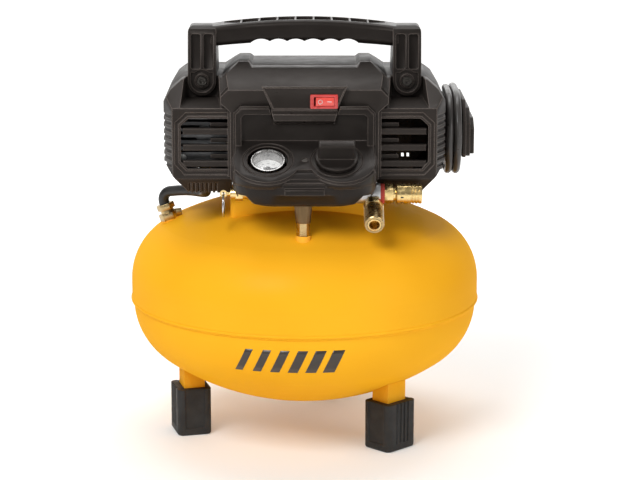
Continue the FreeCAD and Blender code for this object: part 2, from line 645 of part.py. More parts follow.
def shroud_screws():
    spots = [(sx * x, z) for sx in (-1, 1) for x, z in ((126, 318), (72, 400))]
    screws = []
    for x, z in spots:
        head = rod(4.5, V(x, REAR_Y, z), V(x, REAR_Y + 1.8, z))
        screws.append(head.cut(box(x - 3, x + 3, REAR_Y + 0.8, REAR_Y + 3, z - 0.6, z + 0.6)))
    shelf_screw = on_shelf(rod(3, V(0, 0, -2.5), V(0, 0, -0.6)), 0)
    save("shroud_screws", *screws, shelf_screw)


# ---- handle --------------------------------------------------------------------------------------------
def arm():
    """One arm, right-hand side: a deep strap that narrows upwards, with a foot at the front."""
    profile = [(ARM_FRONT_Y, ARM_Z0), (ARM_FRONT_Y + 9, ARM_Z0), (ARM_FRONT_Y + 9, ROOF_Z),
               (ARM_REAR_Y, ROOF_Z), (ARM_REAR_Y, ROOF_Z + 8), (8, 468), (3, 479), (-6, 486),
               (-12, ARM_TOP), (-40, ARM_TOP), (-47, 485), (-53, 477), (ARM_FRONT_Y, 424)]
    half = ARM_W / 2
    foot_z = ARM_Z0 + half
    strap = prism_x(profile, ARM_X - half, ARM_X + half)
    plate = round_edges(box(ARM_X - half, ARM_X + half, -80, 80, foot_z, ARM_TOP), 6,
                        lambda e: is_along(e, Y_AXIS) and e.BoundBox.ZMin > ARM_TOP - 1)
    strap = strap.common(plate.fuse(rod(half, V(ARM_X, -80, foot_z), V(ARM_X, 80, foot_z))))
    lean = degrees(atan2(ARM_FRONT_Y + 53, 477 - 424))
    for side in (-1, 1):
        near, far = sorted((ARM_X + side * 1.8, ARM_X + side * (half - 3.4)))
        channel = round_edges(box(near, far, -70, -50.5, 440, 480), 2.5, lambda e: is_along(e, Y_AXIS))
        strap = strap.cut(turned(channel, V(0, -57.5, 450), X_AXIS, lean))
    dish = rod(half - 3.6, V(ARM_X, -70, foot_z), V(ARM_X, ARM_FRONT_Y + 4.5, foot_z))
    dish = dish.fuse(box(ARM_X - half + 3.6, ARM_X + half - 3.6, -70, ARM_FRONT_Y + 4.5, foot_z, 436))
    boss = pipe(8.6, 6.1, V(ARM_X, ARM_FRONT_Y + 1.5, foot_z), V(ARM_X, ARM_FRONT_Y + 5, foot_z))
    bolt_hole = rod(4, V(ARM_X, ARM_FRONT_Y + 3, foot_z), V(ARM_X, ARM_FRONT_Y + 9.1, foot_z))
    hollow = box(ARM_X - half + 4, ARM_X + half - 4, -44, 6, ROOF_Z - 1, 462)
    return strap.cut(dish).fuse(boss).cut(bolt_hole).cut(hollow)


def grip():
    """The cross bar: arched on top, with finger scallops underneath."""
    reach = ARM_X - 10
    top = Part.Arc(V(-reach, -48, 487), V(0, -48, HANDLE_TOP), V(reach, -48, 487)).toShape()
    bottom = Part.Arc(V(reach, -48, 464), V(0, -48, 470), V(-reach, -48, 464)).toShape()
    ends = [Part.makeLine(V(reach, -48, 487), V(reach, -48, 464)),
            Part.makeLine(V(-reach, -48, 464), V(-reach, -48, 487))]
    bar = Part.Face(Part.Wire([top, ends[0], bottom, ends[1]])).extrude(V(0, 50, 0))
    bar = round_edges(bar, 7, lambda e: e.BoundBox.XLength > 150)
    scallops = [rod(17, V(x, -60, 456.5), V(x, 20, 456.5)) for x in range(-50, 51, 20)]
    pockets = [box(x - 9.5, x + 9.5, -40, -6, 488, 500) for x in (-84, -63, -42, -21, 0, 21, 42, 63, 84)]
    return bar.cut(Part.makeCompound(scallops)).cut(Part.makeCompound(pockets))


def handle():
    save("handle", union([grip()] + both_sides(arm())))
    head_y = ARM_FRONT_Y + 4.5
    z = ARM_Z0 + ARM_W / 2
    bolt = rod(5.6, V(ARM_X, ARM_FRONT_Y, z), V(ARM_X, head_y, z))
    bolt = bolt.cut(hexagon(5, V(ARM_X, ARM_FRONT_Y - 1, z), V(ARM_X, ARM_FRONT_Y + 3, z)))
    bolt = bolt.fuse(rod(4, V(ARM_X, head_y - 1, z), V(ARM_X, ARM_FRONT_Y + 9, z)))
    save("handle_bolts", *both_sides(bolt))


# ---- console -------------------------------------------------------------------------------------------
def on_shelf(shape, x):
    """Stand a shape, built about +Z, on the instrument shelf."""
    shape.Placement = FreeCAD.Placement(V(x, SHELF_Y, SHELF_Z), FreeCAD.Rotation(X_AXIS, SHELF_TILT))
    return shape


def tub_outline(inset):
    """Plan of the console with its two large front corners."""
    t = inset
    corner = 40 - t / 2
    x, y, back = CONSOLE_X - t, CONSOLE_FRONT_Y + t, CENTRE_Y
    c = corner * (1 - cos(pi / 4))
    edges = [
        Part.makeLine(V(-x, back, 0), V(-x, y + corner, 0)),
        Part.Arc(V(-x, y + corner, 0), V(-x + c, y + c, 0), V(-x + corner, y, 0)).toShape(),
        Part.makeLine(V(-x + corner, y, 0), V(x - corner, y, 0)),
        Part.Arc(V(x - corner, y, 0), V(x - c, y + c, 0), V(x, y + corner, 0)).toShape(),
        Part.makeLine(V(x, y + corner, 0), V(x, back, 0)),
        Part.makeLine(V(x, back, 0), V(-x, back, 0)),
    ]
    return Part.Wire(edges)


def tub_layer(inset0, z0, inset1, z1):
    low, high = tub_outline(inset0), tub_outline(inset1)
    low.translate(V(0, 0, z0))
    high.translate(V(0, 0, z1))
    return Part.makeLoft([low, high], True, True)


def shelf_block(inset, drop=0.0):
    """The figure-of-eight instrument shelf, cut down to the ledge."""
    t = inset
    rounds = [on_shelf(rod(38 - t, V(0, 0, -70), V(0, 0, -t - drop)), x) for x in (-42, 42)]
    bar = on_shelf(box(-CONSOLE_X + 4 + t, CONSOLE_X - 4 - t, -17, 60, -70, -t - drop), 0)
    low = 322 + abs(t)
    limit = box(-CONSOLE_X + 2 + t, CONSOLE_X - 2 - t, CONSOLE_FRONT_Y - 10, CENTRE_Y, low, 380)
    return union(rounds + [bar]).common(limit)


def face_block(inset, y_front):
    """The upright frame behind the shelf."""
    t = inset
    outline = mirrored([(80 - t, 326 + t), (80 - t, 399 - t / 2), (72 - t / 2, 407 - t)])
    return prism_y(outline, y_front, CENTRE_Y)


def tub(inset):
    """The lower part of the console, as a solid or, inset, as its hollow."""
    t = inset
    levels = [(20, CONSOLE_Z0), (8, 303), (2, 315), (0, LEDGE_Z)]
    pairs = zip(levels, levels[1:])
    return [tub_layer(grow0 + t, z0 - t / 3, grow1 + t, z1 - t / 3) for (grow0, z0), (grow1, z1) in pairs]


def chin():
    """The stepped block between gauge and knob, wider at its foot."""
    block = prism_x([(-176, 329), (-176, 333), (-169, 338), (-160, 341), (-150, 341), (-150, 329)], -22, 22)
    lip = prism_x([(-180, 315), (-180, 321), (-176, 323), (-170, 323), (-170, 315)], -22, 22)
    flare = prism_y(mirrored([(22, 310), (21, 329), (10, 343)]), -190, -140)
    return [block.common(flare), lip]


def console():
    skirt = shelf_block(-1.8, 4.5)
    outer = union(tub(0) + [shelf_block(0), skirt, face_block(0, -126.5), face_block(2.2, -130)])
    recess = face_block(9, -140).common(box(-90, 90, -140, PANEL_Y, 340, 420))
    recess = recess.cut(on_shelf(box(-100, 100, -100, 100, -120, 0), 0))
    inner = union(tub(3) + [shelf_block(3)])
    behind = box(-76, 76, -128, CENTRE_Y + 0.2, 310, 360)
    shell = outer.cut(recess).cut(inner).cut(behind)
    shell = shell.cut(box(-75, 75, -165, CENTRE_Y + 1, CONSOLE_Z0 - 1, 312))
    wells = [on_shelf(rod(radius, V(0, 0, -30), V(0, 0, 10)), x)
             for radius, x in ((23, GAUGE_X), (9, KNOB_X), (3.2, 0))]
    rims = [on_shelf(pipe(outside, outside - 1, V(0, 0, -0.8), V(0, 0, 1)), x)
            for outside, x in ((28.5, GAUGE_X), (29.5, KNOB_X))]
    well_wall = on_shelf(pipe(25, 23, V(0, 0, -14), V(0, 0, -1)), GAUGE_X)
    slot = box(-24, 24, -190, -177, 323, 327)
    shell = shell.fuse([well_wall] + chin()).cut(slot)
    notch = prism_y(mirrored([(34.3, 386.7), (38.6, 402.2), (49.3, 431)]), -140, CENTRE_Y + 1)
    fittings = rod(MANIFOLD_R + 1.5, along_manifold(-110), along_manifold(110))
    shell = shell.cut(Part.makeCompound(wells + rims)).cut(front_coupler_room()).cut(fittings)
    save("console", largest(shell.cut(notch).cut(manifold_body())))


def largest(shape):
    return max(shape.Solids, key=lambda solid: solid.Volume)


def switch_panel():
    """The slanted-sided plate above the console, with its bevelled lower lip."""
    plate = mirrored([(36.5, 402), (48, 429)])
    lip = prism_x([(-124, 402.5), (-130, 398), (-130, 391), (-125, 387), (CENTRE_Y, 387),
                   (CENTRE_Y, 402.5)], -50, 50)
    lip = lip.common(prism_y(mirrored([(33, 387), (38, 403), (50, 430)]), -140, -100))
    slab = prism_y(plate, -125, CENTRE_Y)
    face = prism_y(mirrored([(34.8, 404), (45.5, 427)]), -130, -123.4)
    body = union([slab, lip]).cut(face)
    room = box(SWITCH_X - 15.6, SWITCH_X + 15.6, -140, -100, SWITCH_Z - 8.1, SWITCH_Z + 8.1)
    save("switch_panel", body.cut(room))


def switch():
    x, z = SWITCH_X, SWITCH_Z
    frame = box(x - 15.5, x + 15.5, -125.6, -123, z - 8, z + 8)
    frame = round_edges(frame, 1.2, lambda e: is_along(e, Y_AXIS))
    case = box(x - 14, x + 14, -124, -98, z - 7, z + 7)
    room = box(x - 11.4, x + 11.4, -130, -112, z - 5.2, z + 5.2)
    save("switch_housing", frame.fuse(case).cut(room))
    half = 10.4
    outline = [(x - half, -127.6), (x, -125.6), (x + half, -127.6), (x + half - 2, -119), (x, -115),
               (x - half + 2, -119)]
    rocker = prism_z(outline, z - 4.8, z + 4.8)
    save("power_rocker", turned(rocker, V(x, -120, z), Z_AXIS, 7.0))


# ---- gauge, regulator and knob --------------------------------------------------------------------------
def gauge():
    case = pipe(18.8, 16.9, V(0, 0, -16), V(0, 0, -1)).fuse(rod(18.8, V(0, 0, -24), V(0, 0, -15)))
    case = case.fuse(rod(5, V(0, 0, -38), V(0, 0, -23)))
    save("gauge_case", on_shelf(case, GAUGE_X))
    dial = rod(16.8, V(0, 0, -15), V(0, 0, -14.2)).cut(rod(1.6, V(0, 0, -16), V(0, 0, -10)))
    save("gauge_dial", on_shelf(dial, GAUGE_X))
    needle = prism_z([(-5, -1.5), (-5, 1.5), (12.5, 0.5), (12.5, -0.5)], -13, -12.4)
    pivot = rod(1.2, V(0, 0, -14.6), V(0, 0, -12))
    needle = union([needle, rod(2.6, V(0, 0, -13.2), V(0, 0, -11.6)), pivot])
    save("gauge_needle", on_shelf(turned(needle, V(0, 0, 0), Z_AXIS, 45), GAUGE_X))
    lens = rod(16.8, V(0, 0, -4.2), V(0, 0, -3.0))
    save("gauge_lens", on_shelf(lens, GAUGE_X))


def knob():
    skirt = rod(24.3, V(0, 0, 1), V(0, 0, 6))
    skirt = round_edges(skirt, 1.5, lambda e: e.BoundBox.ZMin > 5.9)
    bar = box(-20.5, 20.5, -6, 6, 5, 24)
    bar = round_edges(bar, 2, lambda e: e.BoundBox.ZMin > 23.9 or is_along(e, Z_AXIS))
    stem = rod(4, V(0, 0, -6), V(0, 0, 1.5))
    save("regulator_knob", on_shelf(union([skirt, bar, stem]), KNOB_X))


# ---- manifold and outlets ---------------------------------------------------------------------------------
def along_manifold(x):
    return V(x, MANIFOLD_Y, MANIFOLD_Z)


def shelf_point(x, depth):
    tilt = radians(SHELF_TILT)
    return V(x, SHELF_Y + depth * sin(tilt), SHELF_Z - depth * cos(tilt))


def manifold_body():
    """One casting: bar, outlets, regulator body and the gauge and pressure-switch ports."""
    bar = rod(MANIFOLD_R, along_manifold(-60), along_manifold(77))
    outlet = rod(12, along_manifold(76), along_manifold(86))
    arm = box(-14, 11, -156, MANIFOLD_Y, 307, 317)
    regulator = rod(18.5, shelf_point(KNOB_X, 8), shelf_point(KNOB_X, 33))
    boss = rod(9, shelf_point(KNOB_X, 32), shelf_point(KNOB_X, 46))
    gauge_boss = rod(8, shelf_point(GAUGE_X, 38), shelf_point(GAUGE_X, 46))
    back = rod(8, V(-20, MANIFOLD_Y, MANIFOLD_Z), V(-20, -84, MANIFOLD_Z))
    riser = rod(8, V(-20, -90, MANIFOLD_Z), V(-20, -90, 322))
    front = rod(7.6, front_coupler_point(-6), front_coupler_point(FRONT_COUPLER_START))
    body = union([bar, outlet, arm, regulator, boss, gauge_boss, back, riser, front])
    socket = rod(4.6, shelf_point(KNOB_X, 4), shelf_point(KNOB_X, 16))
    return body.cut(socket)


def manifold():
    save("manifold", manifold_body())
    save("pressure_switch", box(-40, 2, -102, -66, 322, 378))
    low = V(NIPPLE_X, NIPPLE_Y, dome_z(abs(NIPPLE_Y)) + BUNG_RISE)
    nut = hexagon(13.4, low, low + Z_AXIS * NIPPLE_NUT)
    cone = taper(8.5, 10.7, low + Z_AXIS * NIPPLE_NUT, V(NIPPLE_X, NIPPLE_Y, 302))
    neck = rod(8, V(NIPPLE_X, NIPPLE_Y, 302), V(NIPPLE_X, NIPPLE_Y, 307))
    save("tank_nipple", union([nut, cone, neck]))


def front_coupler_axis():
    dip = radians(FRONT_COUPLER_DIP)
    return V(0, -cos(dip), -sin(dip))


def front_coupler_point(distance):
    return V(78, MANIFOLD_Y - 2, 299) + front_coupler_axis() * distance


def front_coupler_room():
    return rod(14, front_coupler_point(-12), front_coupler_point(60))


def coupler_body(start, axis):
    """Hexagon, neck and inner barrel of a quick coupler, bored for the plug."""
    hexa = hexagon(20, start, start + axis * 10)
    barrel = rod(7.9, start + axis * 9, start + axis * 43)
    bore = rod(COUPLER_BORE_R, start + axis * 21, start + axis * 44)
    return hexa.fuse(barrel).cut(bore)


def coupler_sleeve(start, axis):
    s0, s1 = start + axis * 13.5, start + axis * 42.5
    sleeve = pipe(COUPLER_R, 8.3, s0, s1)
    for k in (0.55, 0.72, 0.88):
        at = s0 + (s1 - s0) * k
        sleeve = sleeve.cut(pipe(COUPLER_R + 1, COUPLER_R - 0.7, at, at + axis * 1.6))
    return sleeve


def couplers():
    right_start = along_manifold(90.5)
    save("outlet_washer", pipe(11.5, 5, along_manifold(86), right_start))
    front_start, front_axis = front_coupler_point(FRONT_COUPLER_START), front_coupler_axis()
    save("coupler_bodies", coupler_body(right_start, X_AXIS), coupler_body(front_start, front_axis))
    save("right_coupler_sleeve", coupler_sleeve(right_start, X_AXIS))
    save("front_coupler_sleeve", coupler_sleeve(front_start, front_axis))


def relief_valve():
    body = union([rod(6, along_manifold(-60), along_manifold(-84)),
                  hexagon(15, along_manifold(-70), along_manifold(-78))])
    save("relief_valve_body", body.cut(rod(2.7, along_manifold(-76), along_manifold(-90))))
    stem = rod(2.2, along_manifold(-77), along_manifold(RELIEF_X + 3))
    eye = rod(4.2, V(RELIEF_X, MANIFOLD_Y - 1.2, MANIFOLD_Z), V(RELIEF_X, MANIFOLD_Y + 1.2, MANIFOLD_Z))
    hole = rod(2.0, V(RELIEF_X, MANIFOLD_Y - 3, MANIFOLD_Z), V(RELIEF_X, MANIFOLD_Y + 3, MANIFOLD_Z))
    save("relief_stem", stem.fuse(eye).cut(hole))
    ring = Part.makeTorus(RING_R, RING_WIRE, V(RELIEF_X, MANIFOLD_Y, MANIFOLD_Z - RING_R), X_AXIS)
    save("relief_ring", ring)


def drain_valve():
    """An elbow under the tank whose tap points to the rear."""
    elbow = under_tank(-20)
    upright = rod(6.9, elbow, under_tank(3))
    branch = rod(6.5, elbow - Y_AXIS * 2, elbow + Y_AXIS * 22)
    save("drain_valve_body", union([upright, branch, hexagon(16, under_tank(-12), under_tank(-6))]))
    tap = elbow + Y_AXIS * 22.4
    grip_bar = box(-11, 11, 1.6, 8.6, -2.5, 2.5)
    grip_bar.translate(tap)
    save("drain_knob", union([rod(7.5, tap, tap + Y_AXIS * 4.6), grip_bar]))


# ---- cord wrap and cord -----------------------------------------------------------------------------------
def stadium(radius, x0, x1):
    """An oval block with round ends to the front and the back."""
    half = COIL_STRAIGHT / 2
    ends = [rod(radius, V(x0, COIL_Y + s * half, COIL_Z), V(x1, COIL_Y + s * half, COIL_Z)) for s in (-1, 1)]
    middle = box(x0, x1, COIL_Y - half, COIL_Y + half, COIL_Z - radius, COIL_Z + radius)
    return union(ends + [middle])


def cord_wrap():
    core_r = COIL_OUTER_R - CORD_D * 1.5 - 0.3
    core = stadium(core_r, SHROUD_X, COIL_X[1] + CORD_D / 2 + 1).cut(stadium(core_r - 3, SHROUD_X + 3, 190))
    y0, y1, z0, z1 = -48, 80, 334, 400
    plate = prism_x([(y0, z0 + 4), (y0 + 6, z0), (y1 - 6, z0), (y1, z0 + 4), (y1, z1 - 22),
                     (y1 - 22, z1), (y0 + 22, z1), (y0, z1 - 22)], 184, 188)
    bulge = prism_x([(y0 + 8, z0 + 4), (y1 - 8, z0 + 4), (y1 - 8, z1 - 32), (y1 - 26, z1 - 22),
                     (y0 + 26, z1 - 22), (y0 + 8, z1 - 32)], 187, 198)
    step = prism_x([(y0 + 4, z0 + 2), (y1 - 4, z0 + 2), (y1 - 4, z1 - 26), (y1 - 24, z1 - 10),
                    (y0 + 24, z1 - 10), (y0 + 4, z1 - 26)], 187, 193)
    hub = box(SHROUD_X, 186, COIL_Y - 14, COIL_Y + 14, COIL_Z - 20, COIL_Z + 12)
    save("cord_wrap", union([core, plate, step, bulge, hub]))


def cord():
    """Strain relief, the lead into the coil, the wound coil, and the tail with its plug."""
    x0, x1 = COIL_X[0] - CORD_D / 2, COIL_X[1] + CORD_D / 2
    coil = stadium(COIL_OUTER_R + CORD_D / 2, x0, x1)
    coil = coil.cut(stadium(COIL_OUTER_R - CORD_D * 1.5, x0 - 1, x1 + 1))
    save("cord_coil", coil)
    lead, length, bends = tube_route(LEAD_ROUTE, CORD_D / 2)
    print("cord lead mm", round(length), "bends", [round(b, 1) for b in bends],
          "volume ratio", round(lead.Volume / (pi * CORD_D ** 2 / 4 * length), 4))
    tail = rod(CORD_D / 2, *TAIL_ROUTE)
    save("cord_lead", largest(lead.cut(coil)), largest(tail.cut(coil)))
    exit_point = LEAD_ROUTE[0]
    back = (LEAD_ROUTE[0] - LEAD_ROUTE[1]).normalize()
    sleeve = taper(5.6, 8, exit_point, exit_point + back * RELIEF_LENGTH)
    grooves = [pipe(9, 5.2, exit_point + back * d, exit_point + back * (d + 1.6)) for d in (4, 8, 12, 16)]
    boss = box(138, 166, 96, 106, 303, 318).cut(shroud_block(0))
    save("strain_relief", largest(sleeve.cut(Part.makeCompound(grooves)).fuse(boss).cut(shroud_block(0))))
    plug()


def plug():
    """A three-pin mains plug that hangs from the tail."""
    start, along = TAIL_ROUTE[1], (TAIL_ROUTE[1] - TAIL_ROUTE[0]).normalize()
    place = FreeCAD.Placement(start, FreeCAD.Rotation(Z_AXIS, along))
    grip_part = taper(6.5, 8.5, V(0, 0, 0), V(0, 0, 14))
    face = round_edges(box(-12, 12, -10, 12, 12, 33), 4, lambda e: is_along(e, Z_AXIS))
    body = grip_part.fuse(face)
    blades = [box(s * 6.35 - 0.8, s * 6.35 + 0.8, -6.4, -0.1, 33, 50) for s in (-1, 1)]
    blades.append(rod(2.4, V(0, 8.4, 33), V(0, 8.4, 52)))
    for shape in [body] + blades:
        shape.Placement = place.multiply(shape.Placement)
    save("plug_body", body)
    save("plug_blades", *blades)


def main():
    os.makedirs("parts", exist_ok=True)
    tank()
    bungs()
    legs_and_feet()
    saddle()
    pump_base()
    stator()
    motor_shell()
    rotor()
    crankcase()
    cylinder()
    piston()
    discharge_line()
    front_shell()
    rear_shell()
    shroud_screws()
    handle()
    console()
    switch_panel()
    switch()
    gauge()
    knob()
    manifold()
    couplers()
    relief_valve()
    drain_valve()
    cord_wrap()
    cord()
    for node, solids, volume, valid in NODES:
        print(node, solids, round(volume), "valid" if valid else "NOT VALID")
    print(len(NODES), "nodes")


main()
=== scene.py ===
import math
import random

import bmesh
import bpy
from mathutils import Matrix, Vector
from mathutils.bvhtree import BVHTree


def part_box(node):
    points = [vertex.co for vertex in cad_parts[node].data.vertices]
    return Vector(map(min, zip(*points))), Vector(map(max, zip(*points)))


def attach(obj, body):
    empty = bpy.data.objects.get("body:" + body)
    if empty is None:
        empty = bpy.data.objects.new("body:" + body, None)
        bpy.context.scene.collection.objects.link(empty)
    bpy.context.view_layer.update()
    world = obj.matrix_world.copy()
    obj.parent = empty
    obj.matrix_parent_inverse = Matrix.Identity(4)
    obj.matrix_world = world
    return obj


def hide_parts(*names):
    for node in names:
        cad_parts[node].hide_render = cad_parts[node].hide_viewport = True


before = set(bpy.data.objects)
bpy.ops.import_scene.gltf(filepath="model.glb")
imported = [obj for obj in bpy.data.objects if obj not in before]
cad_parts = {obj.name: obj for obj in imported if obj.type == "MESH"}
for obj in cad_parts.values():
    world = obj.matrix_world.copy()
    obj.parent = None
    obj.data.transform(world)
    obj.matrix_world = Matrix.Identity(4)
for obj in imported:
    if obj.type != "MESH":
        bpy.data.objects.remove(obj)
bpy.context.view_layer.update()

# ---- places and sizes in metres, the tank's read from model.glb ----------------------------------
TANK_LOW, TANK_HIGH = (Vector(c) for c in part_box("tank_upper_head"))
TANK_R = TANK_HIGH.x
SEAM_Z = TANK_LOW.z
SHELF_TILT = math.radians(30.26)      # slope of the instrument shelf
COUPLER_DIP = math.radians(22.5)      # the front coupler points this far below level
CORD_D = 0.009
NIPPLE_NUT = 0.0152                   # height of the hexagon under the nipple's cone
TURN = 2 * math.pi

# ---- camera and instruments ----------------------------------------------------------------------
CAMERA_AT = (0, -2.5, 0.771)
CAMERA_DIP = math.radians(12.3)       # how far below level it looks
CAMERA_LENS = 120.1
CAMERA_SENSOR = 36.0
CAMERA_SHIFT = 0.0242
DIAL_ZERO = math.radians(225)         # where the gauge's scale starts, and how far it sweeps clockwise
DIAL_SWEEP = math.radians(270)


def middle(node):
    """The middle of a CAD node's box."""
    low, high = (Vector(corner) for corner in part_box(node))
    return (low + high) / 2


def placed(centre, rotation):
    """A place in space: turned by the rotation, then moved to the centre."""
    return Matrix.Translation(centre) @ rotation.to_4x4()


def make_camera():
    """A long lens, a little above the object and looking slightly down on its console side."""
    data = bpy.data.cameras.new("camera")
    data.lens = CAMERA_LENS
    data.sensor_width = CAMERA_SENSOR
    data.shift_x = CAMERA_SHIFT
    camera = bpy.data.objects.new("camera", data)
    camera.location = CAMERA_AT
    camera.rotation_euler = (math.pi / 2 - CAMERA_DIP, 0, 0)
    bpy.context.collection.objects.link(camera)
    bpy.context.scene.camera = camera


# ---- mesh helpers --------------------------------------------------------------------------------
def new_object(name, data, body="root"):
    """An object with the given data, riding on a body."""
    piece = bpy.data.objects.new(name, data)
    bpy.context.collection.objects.link(piece)
    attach(piece, body)
    return piece


def mesh_piece(name, bm, body="root", smooth_angle=35):
    """Turn a bmesh into a smooth-shaded piece that rides on a body."""
    mesh = bpy.data.meshes.new(name)
    bmesh.ops.recalc_face_normals(bm, faces=bm.faces)
    bm.to_mesh(mesh)
    bm.free()
    smooth(mesh, smooth_angle)
    return new_object(name, mesh, body)


def smooth(mesh, angle):
    """Smooth shading, with edges sharper than the angle, in degrees, kept sharp."""
    mesh.shade_smooth()
    mesh.set_sharp_from_angle(angle=math.radians(angle))


def use_material(piece, material):
    """Make this the piece's one material."""
    piece.data.materials.clear()
    piece.data.materials.append(material)


def dress(node, material):
    """Give a carried-over CAD node a better material."""
    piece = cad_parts[node]
    for slot in piece.material_slots:
        slot.material = material
    if not piece.material_slots:
        piece.data.materials.append(material)


def split_at(bm, x):
    """Cut the mesh across X, so that no flat face there is left with a hole in it."""
    everything = bm.verts[:] + bm.edges[:] + bm.faces[:]
    cut = bmesh.ops.bisect_plane(bm, geom=everything, dist=1e-7, plane_co=(x, 0, 0), plane_no=(1, 0, 0))
    for part in cut["geom_cut"]:
        if isinstance(part, bmesh.types.BMEdge):
            part.seam = True


def rounded(node, material, width=0.0008, segments=2, angle=28, body="root", splits=()):
    """Stand in for a CAD node with the same shape, its edges rounded."""
    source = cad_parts[node]
    bm = bmesh.new()
    bm.from_mesh(source.data)
    bmesh.ops.transform(bm, matrix=source.matrix_world, verts=bm.verts)
    bmesh.ops.remove_doubles(bm, verts=bm.verts, dist=0.00002)
    for x in splits:
        split_at(bm, x)
    bmesh.ops.dissolve_limit(bm, angle_limit=math.radians(1.0), verts=bm.verts, edges=bm.edges,
                             use_dissolve_boundaries=False, delimit={"SEAM"})
    mesh = bpy.data.meshes.new(node + "_rounded")
    bm.to_mesh(mesh)
    bm.free()
    piece = new_object(node + "_rounded", mesh, body)
    bevel = piece.modifiers.new("round", "BEVEL")
    bevel.width = width
    bevel.segments = segments
    bevel.limit_method = "ANGLE"
    bevel.angle_limit = math.radians(angle)
    bevel.use_clamp_overlap = True
    bevel.miter_outer = "MITER_ARC"
    use_material(piece, material)
    apply_modifiers(piece)
    smooth(piece.data, 32)
    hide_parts(node)
    return piece


def apply_modifiers(piece):
    """Replace a piece's mesh by what its modifiers make of it."""
    depsgraph = bpy.context.evaluated_depsgraph_get()
    evaluated = piece.evaluated_get(depsgraph)
    mesh = bpy.data.meshes.new_from_object(evaluated)
    piece.modifiers.clear()
    old = piece.data
    piece.data = mesh
    bpy.data.meshes.remove(old)


def spun(name, rings, place, material, body="root", segments=72, closed=True, angle=30):
    """Turn rings of (radius, height, ripple depth, ripple count) about the place's own Z axis."""
    bm = bmesh.new()
    rows = []
    for radius, height, depth, count in rings:
        row = []
        for k in range(segments):
            a = TURN * k / segments
            r = radius - depth * (0.5 + 0.5 * math.cos(a * count))
            row.append(bm.verts.new(place @ Vector((r * math.cos(a), r * math.sin(a), height))))
        rows.append(row)
    pairs = list(zip(rows, rows[1:]))
    if closed:
        pairs.append((rows[-1], rows[0]))
    for low, high in pairs:
        for k in range(segments):
            n = (k + 1) % segments
            bm.faces.new((low[k], low[n], high[n], high[k]))
    piece = mesh_piece(name, bm, body, angle)
    use_material(piece, material)
    return piece


def plain(rings):
    """Rings of (radius, height) without ripples, as spun() takes them."""
    return [(radius, height, 0, 0) for radius, height in rings]


def surface(node):
    """What a ray can hit of a CAD node."""
    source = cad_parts[node]
    bm = bmesh.new()
    bm.from_mesh(source.data)
    bmesh.ops.transform(bm, matrix=source.matrix_world, verts=bm.verts)
    tree = BVHTree.FromBMesh(bm)
    bm.free()
    return tree


def sticker(name, quads, node, toward, material, body="root", lift=0.00025, thick=0.0001, cells=(10, 4)):
    """Thin patches that follow a node's surface; each quad has four corners in space."""
    tree = surface(node)
    bm = bmesh.new()
    across, up = cells
    for a, b, c, d in quads:
        rows = []
        for j in range(up + 1):
            row = []
            for i in range(across + 1):
                s, t = i / across, j / up
                start = Vector(a) * (1 - s) * (1 - t) + Vector(b) * s * (1 - t)
                start += Vector(c) * s * t + Vector(d) * (1 - s) * t
                hit, normal = tree.ray_cast(start, Vector(toward))[:2]
                if normal.dot(Vector(toward)) > 0:
                    normal = -normal
                row.append(bm.verts.new(hit + normal * lift))
            rows.append(row)
        for low, high in zip(rows, rows[1:]):
            for i in range(across):
                bm.faces.new((low[i], low[i + 1], high[i + 1], high[i]))
    piece = mesh_piece(name, bm, body, 60)
    solid = piece.modifiers.new("thickness", "SOLIDIFY")
    solid.thickness = thick
    solid.offset = 0
    apply_modifiers(piece)
    use_material(piece, material)
    return piece


# ---- power cord ----------------------------------------------------------------------------------
COIL_X = (0.1685, 0.178)              # the two columns of turns on the wrap
COIL_MID = Vector((0, 0.016, 0.360))
COIL_HALF = 0.030                     # half the length of a turn's straight runs
COIL_LAYERS = ((0, 0.0365), (1, 0.0365), (1, 0.0455), (0, 0.0455))    # column and radius of each turn
ARC_STEPS = 8                         # points in each half-round end of a turn
TAIL_STEPS = 7                        # points left off the last turn, where the tail starts
JITTER = 0.0003                       # hand-wound turns don't lie quite true
LEAD = [(0.158, 0.074, 0.309), (0.159, 0.052, 0.308), (0.163, 0.030, 0.309)]
TAIL = [(0.178, 0.0905, 0.378), (0.178, 0.102, 0.346)]


def coil_points():
    """Turns of the wound cord: under the wrap, up the front, over the top and down the back."""
    turns = len(COIL_LAYERS)
    per_turn = 2 * ARC_STEPS + 4
    swell = 1 / math.cos(math.pi / ARC_STEPS / 4)
    rng = random.Random(4)
    points = []
    for step in range(turns * per_turn - TAIL_STEPS):
        place = step / per_turn
        turn = min(int(place), turns - 1)
        column, radius = COIL_LAYERS[turn]
        later_column, later_radius = COIL_LAYERS[min(turn + 1, turns - 1)]
        ease = max(0.0, (place - turn - 0.72) / 0.28)
        x = COIL_X[column] * (1 - ease) + COIL_X[later_column] * ease
        r = (radius * (1 - ease) + later_radius * ease) * swell
        k = step % per_turn
        if k < 2:
            y, z = COIL_MID.y + COIL_HALF * (0.33 - 0.66 * k), COIL_MID.z - r
        elif k < 3 + ARC_STEPS:
            a = math.pi * (k - 2) / ARC_STEPS
            y, z = COIL_MID.y - COIL_HALF - r * math.sin(a), COIL_MID.z - r * math.cos(a)
        elif k < 4 + ARC_STEPS:
            y, z = COIL_MID.y - COIL_HALF * 0.2, COIL_MID.z + r
        else:
            a = math.pi * (k - 4 - ARC_STEPS) / ARC_STEPS
            y, z = COIL_MID.y + COIL_HALF + r * math.sin(a), COIL_MID.z + r * math.cos(a)
        points.append((x + rng.uniform(-JITTER, JITTER), y, z))
    return points


